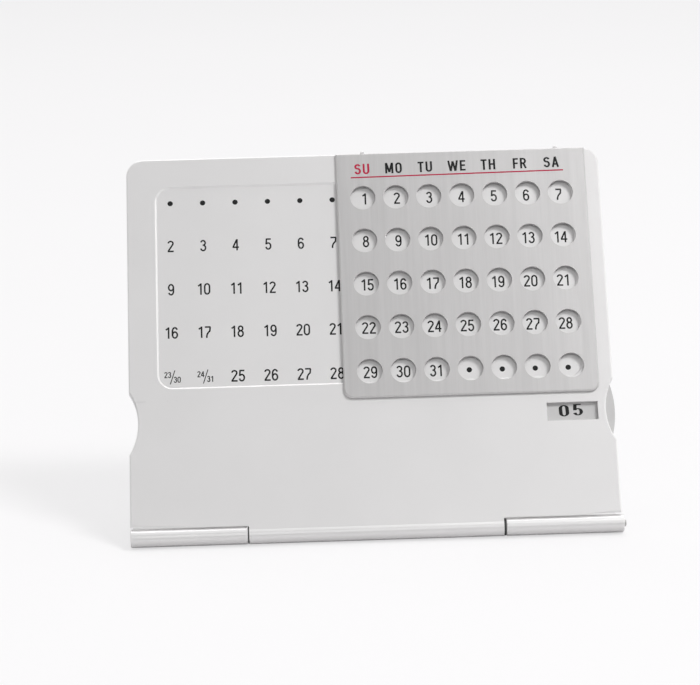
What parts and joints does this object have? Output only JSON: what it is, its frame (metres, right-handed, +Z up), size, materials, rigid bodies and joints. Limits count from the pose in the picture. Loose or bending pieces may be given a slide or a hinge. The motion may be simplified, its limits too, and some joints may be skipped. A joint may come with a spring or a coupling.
{
  "type": "perpetual desk calendar",
  "caption": "Folding perpetual desk calendar: a leaning panel with a printed date field, a sliding date plate with round holes and a turning month dial, hinged to a flat stand leaf.",
  "frame": {"origin": "On the table, under the middle of the whole footprint, which runs from the front of the hinge barrel to the stand leaf's rear edge.", "axes": "+X to the viewer's right along the hinge, +Y away from the viewer, +Z up; the panel faces -Y and leans back."},
  "size_m": [0.1212, 0.0942, 0.0893],
  "materials": {
    "silver_satin": "satin",
    "brushed_sheet": "satin",
    "pin_steel": "satin",
    "black_washer": "matte",
    "dial_plastic": "matte",
    "slip_strip": "matte",
    "foot_rubber": "matte"
  },
  "bodies": {
    "stand": {"stand_leaf": "silver_satin", "hinge_pin": "pin_steel", "hinge_washer_left": "black_washer", "hinge_washer_right": "black_washer", "foot_front_left": "foot_rubber", "foot_front_right": "foot_rubber", "foot_rear_left": "foot_rubber", "foot_rear_right": "foot_rubber"},
    "panel": {"front_panel": "silver_satin", "back_cover": "silver_satin", "disc_axle": "pin_steel", "disc_washer": "black_washer", "friction_sleeve_left": "pin_steel", "friction_sleeve_right": "pin_steel", "cover_screw_1": "pin_steel", "cover_screw_2": "pin_steel", "cover_screw_3": "pin_steel", "cover_screw_4": "pin_steel"},
    "slider": {"slider_plate": "brushed_sheet", "glide_strip_upper": "slip_strip", "glide_strip_lower": "slip_strip"},
    "month_dial": {"month_disc": "dial_plastic"}
  },
  "joints": [
    {"name": "panel_tilt", "type": "hinge", "parent": "stand", "child": "panel", "pos_m": [-0.00055, -0.04489, 0.00252], "axis": [1, 0, 0], "range_deg": [-60, 60]},
    {"name": "date_plate_slide", "type": "slide", "parent": "panel", "child": "slider", "axis": [1, 0, 0], "range_m": [-0.0492, 0]},
    {"name": "month_dial_spin", "type": "hinge", "parent": "panel", "child": "month_dial", "pos_m": [0.03535, -0.03056, 0.02734], "axis": [0, -0.866, 0.5], "continuous": true}
  ]
}
